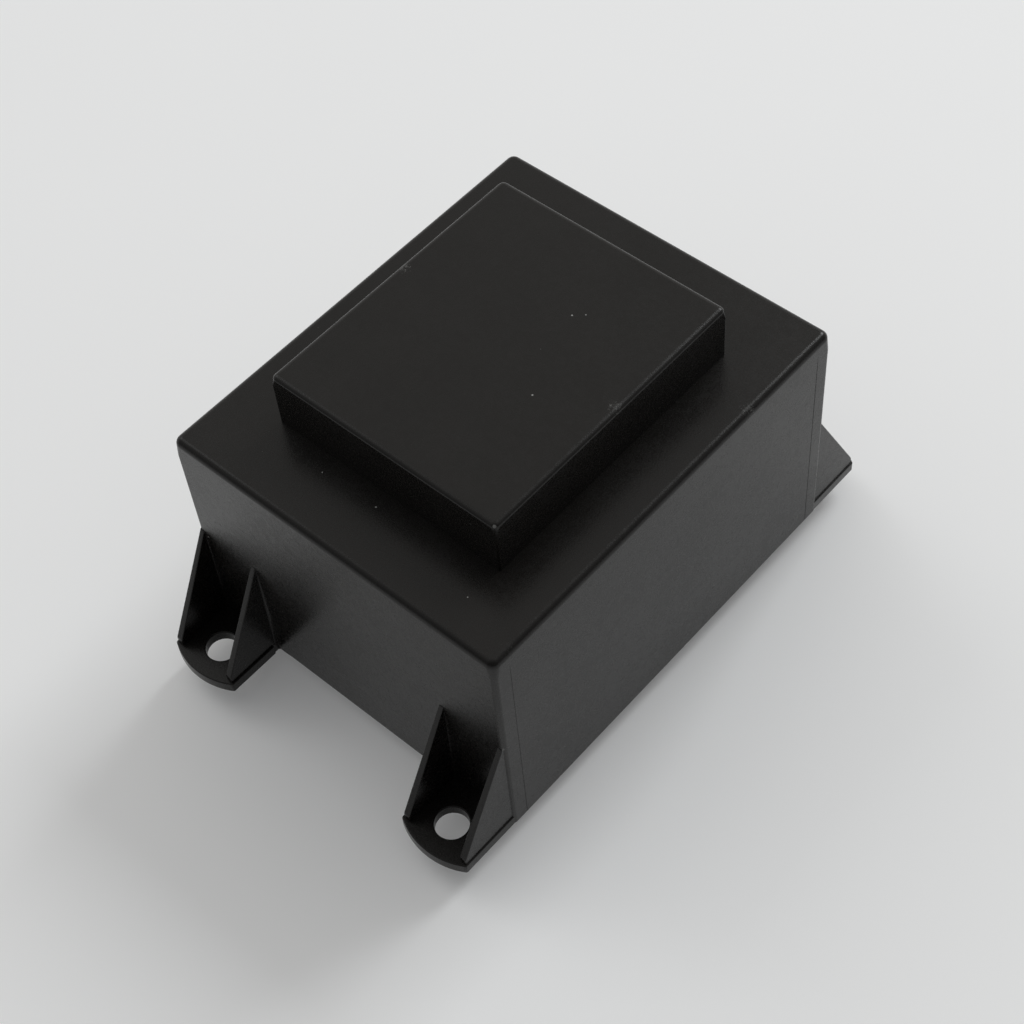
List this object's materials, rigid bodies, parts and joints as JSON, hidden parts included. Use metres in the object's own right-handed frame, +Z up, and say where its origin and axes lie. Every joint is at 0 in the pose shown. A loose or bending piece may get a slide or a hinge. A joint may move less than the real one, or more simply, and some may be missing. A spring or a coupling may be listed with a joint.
{
  "type": "pcb transformer",
  "caption": "Potted mains transformer with an EI core in a black moulded case with gusseted screw lugs and solder pins.",
  "frame": {"origin": "centre of the four lug holes, on the seating plane that the case's rim and the lugs share", "axes": "+X along the case from lug to lug, +Y from the primary row of pins to the secondary row, +Z up, away from the circuit board"},
  "size_m": [0.0924, 0.0582, 0.0539],
  "materials": {
    "case_plastic": "fine spark-eroded moulding texture, dusty, with small white scuffs on the edges",
    "potting_resin": "cast resin, smooth with a slight pooled gloss",
    "lamination_steel": "silicon steel sheet, oxide blued",
    "bobbin_nylon": "natural glass-filled nylon",
    "enamelled_copper": "enamelled copper winding wire",
    "insulating_tape": "yellow polyester film tape",
    "tinned_terminal": "tinned wire, dull bright"
  },
  "bodies": {
    "root": {"case": "case_plastic", "potting_resin": "potting_resin", "e_laminations": "lamination_steel", "i_laminations": "lamination_steel", "bobbin": "bobbin_nylon", "primary_winding_inner": "enamelled_copper", "primary_interlayer_tape": "insulating_tape", "primary_winding_outer": "enamelled_copper", "primary_wrap_tape": "insulating_tape", "secondary_winding_inner": "enamelled_copper", "secondary_interlayer_tape": "insulating_tape", "secondary_winding_outer": "enamelled_copper", "secondary_wrap_tape": "insulating_tape", "primary_leads": "enamelled_copper", "secondary_leads": "enamelled_copper", "primary_pin_1": "tinned_terminal", "primary_pin_2": "tinned_terminal", "primary_pin_3": "tinned_terminal", "primary_pin_4": "tinned_terminal", "secondary_pin_1": "tinned_terminal", "secondary_pin_2": "tinned_terminal", "secondary_pin_3": "tinned_terminal", "secondary_pin_4": "tinned_terminal"}
  },
  "joints": []
}
